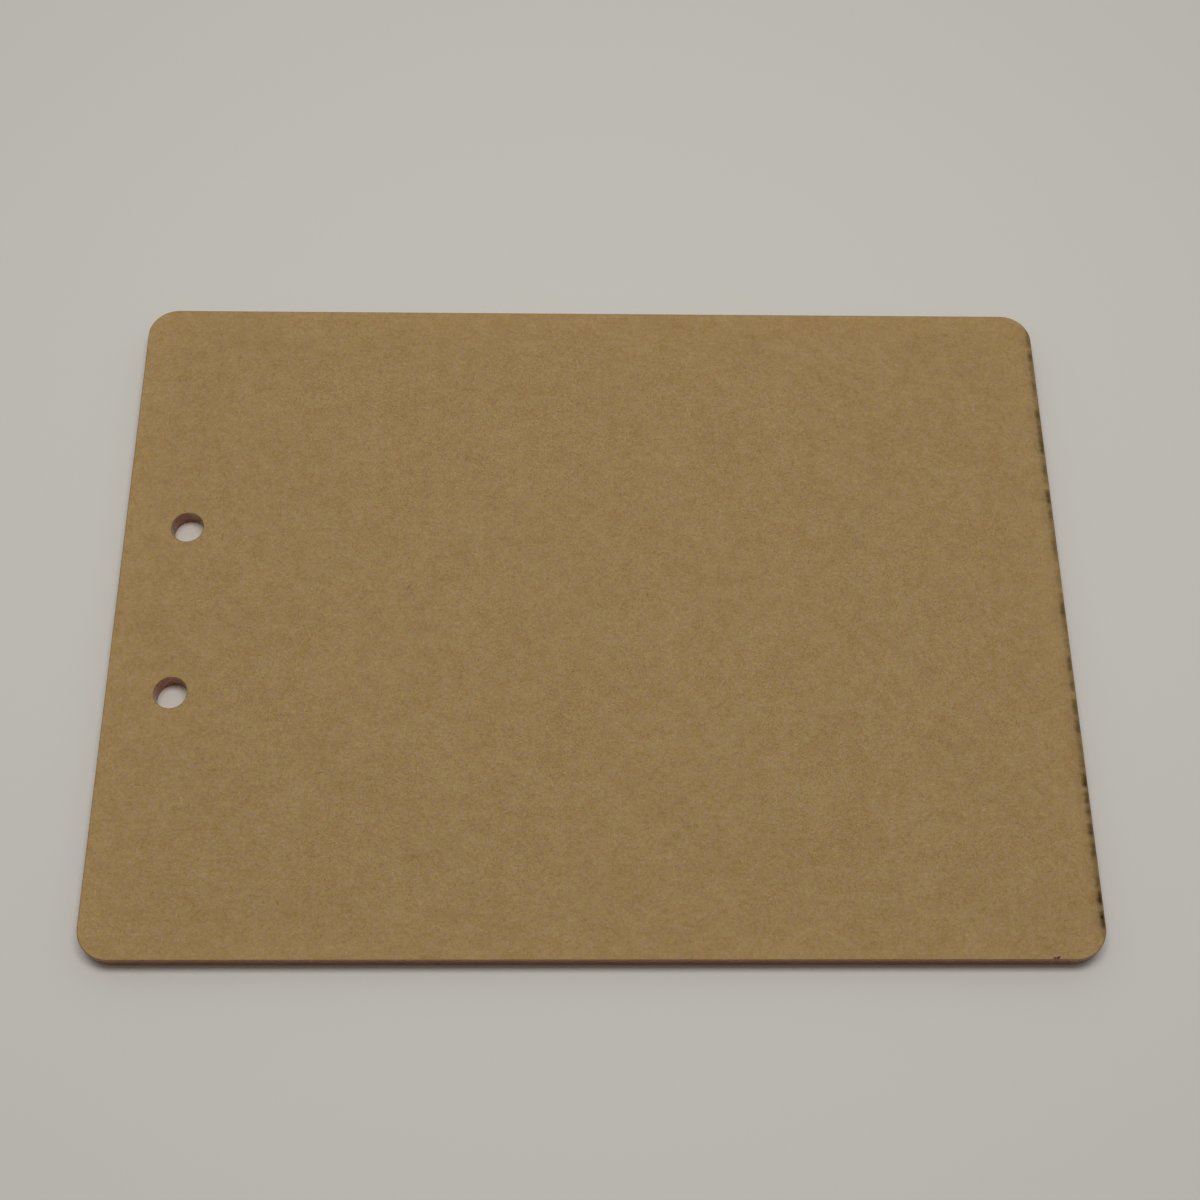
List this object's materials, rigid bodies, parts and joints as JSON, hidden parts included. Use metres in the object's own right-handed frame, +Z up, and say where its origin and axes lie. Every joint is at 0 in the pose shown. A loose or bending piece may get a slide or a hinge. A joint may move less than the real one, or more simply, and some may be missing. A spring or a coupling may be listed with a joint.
{
  "type": "clipboard board",
  "caption": "Flat rectangular clipboard board of clear acrylic with rounded corners and clip holes near a short edge, covered front and rear by kraft masking paper that peels off.",
  "frame": {"origin": "middle of the underside, on the surface that the board lies on", "axes": "+X along the board's length, away from the clip holes; +Y across its width; +Z up out of the front face"},
  "size_m": [0.31, 0.23, 0.0063],
  "materials": {
    "clear_acrylic": "polished",
    "front_kraft_paper": "matte",
    "rear_kraft_paper": "matte"
  },
  "bodies": {
    "board": {"acrylic_board": "clear_acrylic"},
    "front_paper": {"front_masking_paper": "front_kraft_paper"},
    "rear_paper": {"rear_masking_paper": "rear_kraft_paper"}
  },
  "joints": [
    {"name": "front_paper_peel", "type": "hinge", "parent": "board", "child": "front_paper", "pos_m": [-0.15485, 0, 0.0063], "axis": [0, -1, 0], "range_deg": [0, 175]},
    {"name": "rear_paper_peel", "type": "hinge", "parent": "board", "child": "rear_paper", "pos_m": [-0.15485, 0, 0], "axis": [0, 1, 0], "range_deg": [0, 180]}
  ]
}
